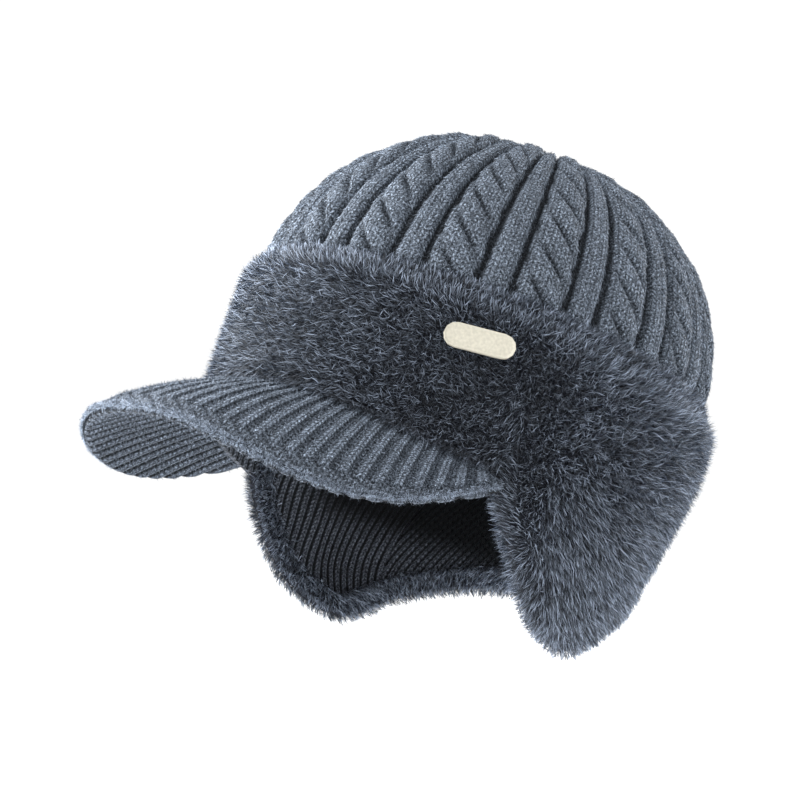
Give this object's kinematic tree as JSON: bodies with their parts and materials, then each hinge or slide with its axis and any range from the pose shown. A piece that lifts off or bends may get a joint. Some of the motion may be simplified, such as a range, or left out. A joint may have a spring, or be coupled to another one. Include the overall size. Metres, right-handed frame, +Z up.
{
  "type": "brimmed beanie with ear flaps",
  "caption": "Knitted winter beanie with a cable-knit crown, a plush fur band that drops into ear flaps and a neck flap, a rib-knit lining and a curved knitted brim.",
  "frame": {"origin": "centre of the head opening, level with the corners of the brim, where the hat sits on a head", "axes": "-Y towards the brim (front), +X towards the wearer's left, +Z up"},
  "size_m": [0.2074, 0.2814, 0.2135],
  "materials": {
    "yarn": "slate blue-grey fuzzy melange yarn, cable and rib knit",
    "brim_rib": "slate blue-grey fine rib knit",
    "fur": "dark slate plush pile, 10 mm long, with paler tips",
    "lining": "dark slate rib knit",
    "badge": "plain cream raised bar, satin"
  },
  "bodies": {
    "root": {"cable_knit_crown": "yarn", "fur_band_and_flaps": "fur", "lining_front": "lining", "lining_ear_left": "lining", "lining_ear_right": "lining", "lining_neck": "lining", "brim_top": "yarn", "brim_underside": "brim_rib", "badge": "badge"}
  },
  "joints": []
}
